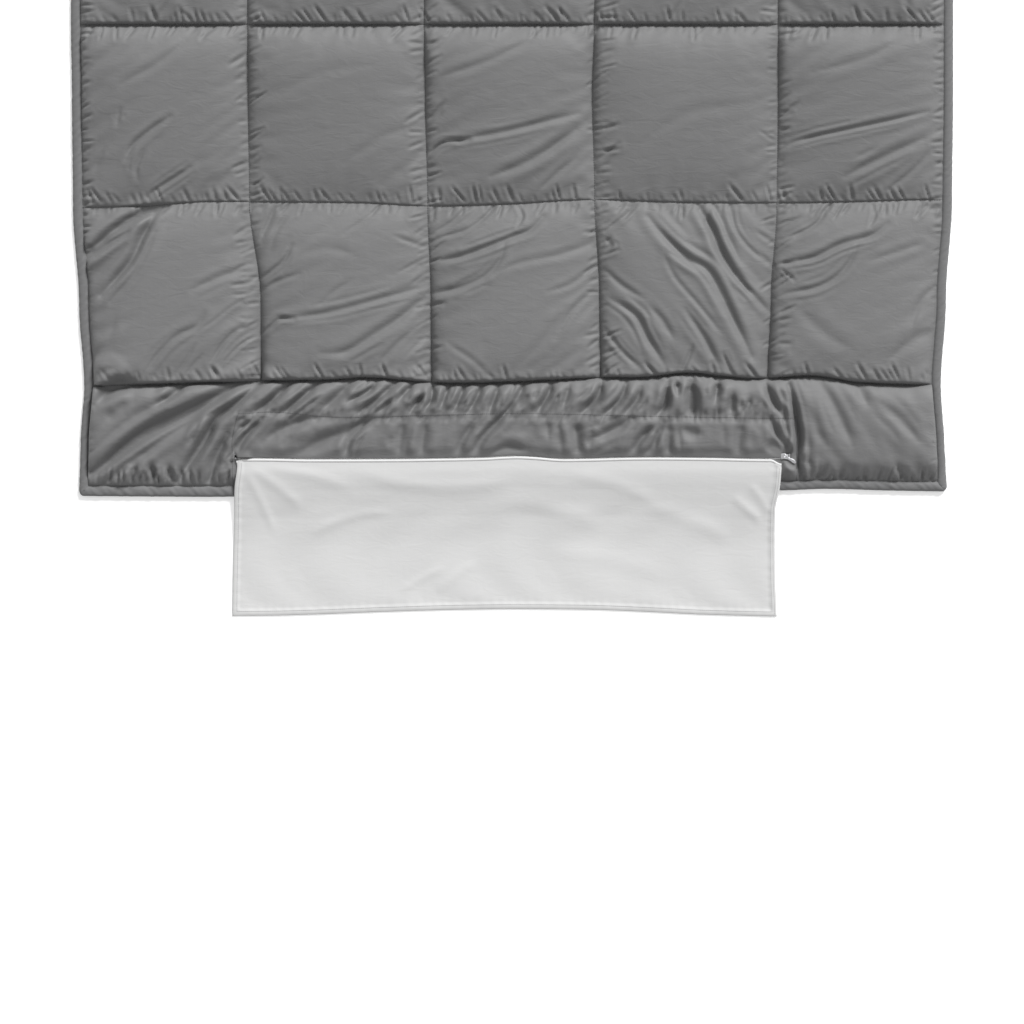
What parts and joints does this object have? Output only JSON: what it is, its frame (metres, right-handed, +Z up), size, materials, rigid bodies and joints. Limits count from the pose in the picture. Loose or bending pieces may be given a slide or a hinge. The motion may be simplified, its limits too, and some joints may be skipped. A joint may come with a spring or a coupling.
{
  "type": "quilt",
  "caption": "Box-stitched quilt with a zipped foot pocket and a hemmed fabric panel that comes out of it and tucks under a mattress.",
  "frame": {"origin": "middle of the whole object's footprint, on the surface it lies on", "axes": "+Y along the quilt from its foot to its head, +X to the right seen from above with the foot towards the viewer, +Z up"},
  "size_m": [1.73, 2.4206, 0.0338],
  "materials": {
    "face_fabric": "satin-smooth tight plain weave, mid grey",
    "lining_fabric": "smooth plain weave, mid grey",
    "binding_fabric": "folded binding, slightly darker grey",
    "batting": "lofty polyester fibre fill",
    "quilting_thread": "dark grey thread",
    "pocket_fabric": "smooth plain weave, dark grey",
    "zip_white": "white woven tape and nylon coil",
    "zip_grey": "dark grey woven tape and nylon coil",
    "zip_metal": "die-cast, nickel plated",
    "panel_fabric": "thin smooth plain weave, light grey",
    "panel_hem": "double-folded hem, light grey",
    "panel_thread": "grey thread"
  },
  "bodies": {
    "quilt_foot": {"lining_foot_half": "lining_fabric", "border_fill": "batting", "fill_foot_rows": "batting", "face_fabric_foot_half": "face_fabric", "quilting_thread_foot_half": "quilting_thread", "foot_binding": "binding_fabric", "left_binding_foot_half": "binding_fabric", "right_binding_foot_half": "binding_fabric", "pocket_back_panel": "pocket_fabric", "pocket_lower_panel": "pocket_fabric", "pocket_upper_panel": "pocket_fabric", "pocket_stitching": "quilting_thread", "zip_lower_tape": "zip_white", "zip_upper_tape": "zip_grey", "zip_lower_coil": "zip_white", "zip_upper_coil": "zip_grey", "zip_lower_end_stop": "zip_metal", "zip_upper_end_stop": "zip_metal", "zip_closed_end_stop": "zip_metal"},
    "quilt_head": {"lining_head_half": "lining_fabric", "fill_head_half": "batting", "face_fabric_head_half": "face_fabric", "quilting_thread_head_half": "quilting_thread", "head_binding": "binding_fabric", "left_binding_head_half": "binding_fabric", "right_binding_head_half": "binding_fabric"},
    "tuck_panel": {"panel_upper": "panel_fabric", "panel_left_hem_upper": "panel_hem", "panel_right_hem_upper": "panel_hem", "panel_top_tape": "zip_white"},
    "tuck_panel_end": {"panel_lower": "panel_fabric", "panel_left_hem_lower": "panel_hem", "panel_right_hem_lower": "panel_hem", "panel_bottom_hem": "panel_hem", "panel_hem_thread": "panel_thread"},
    "zip_slider": {"slider_body": "zip_metal"},
    "zip_pull": {"pull_tab": "zip_metal"}
  },
  "joints": [
    {"name": "head_fold", "type": "hinge", "parent": "quilt_foot", "child": "quilt_head", "pos_m": [0, 0.29375, 0.0344], "axis": [1, 0, 0], "range_deg": [0, 180]},
    {"name": "panel_lift", "type": "hinge", "parent": "quilt_foot", "child": "tuck_panel", "pos_m": [-0.01, -0.90775, 0.025], "axis": [1, 0, 0], "range_deg": [-170, 0]},
    {"name": "panel_drop", "type": "hinge", "parent": "tuck_panel", "child": "tuck_panel_end", "pos_m": [-0.01, -0.97475, 0.008], "axis": [1, 0, 0], "range_deg": [0, 90]},
    {"name": "zip_slide", "type": "slide", "parent": "quilt_foot", "child": "zip_slider", "axis": [1, 0, 0], "range_m": [-1.06, 0]},
    {"name": "pull_flip", "type": "hinge", "parent": "zip_slider", "child": "zip_pull", "pos_m": [0.533, -0.9015, 0.023], "axis": [-0.5, -0.866, 0], "range_deg": [0, 180]}
  ]
}
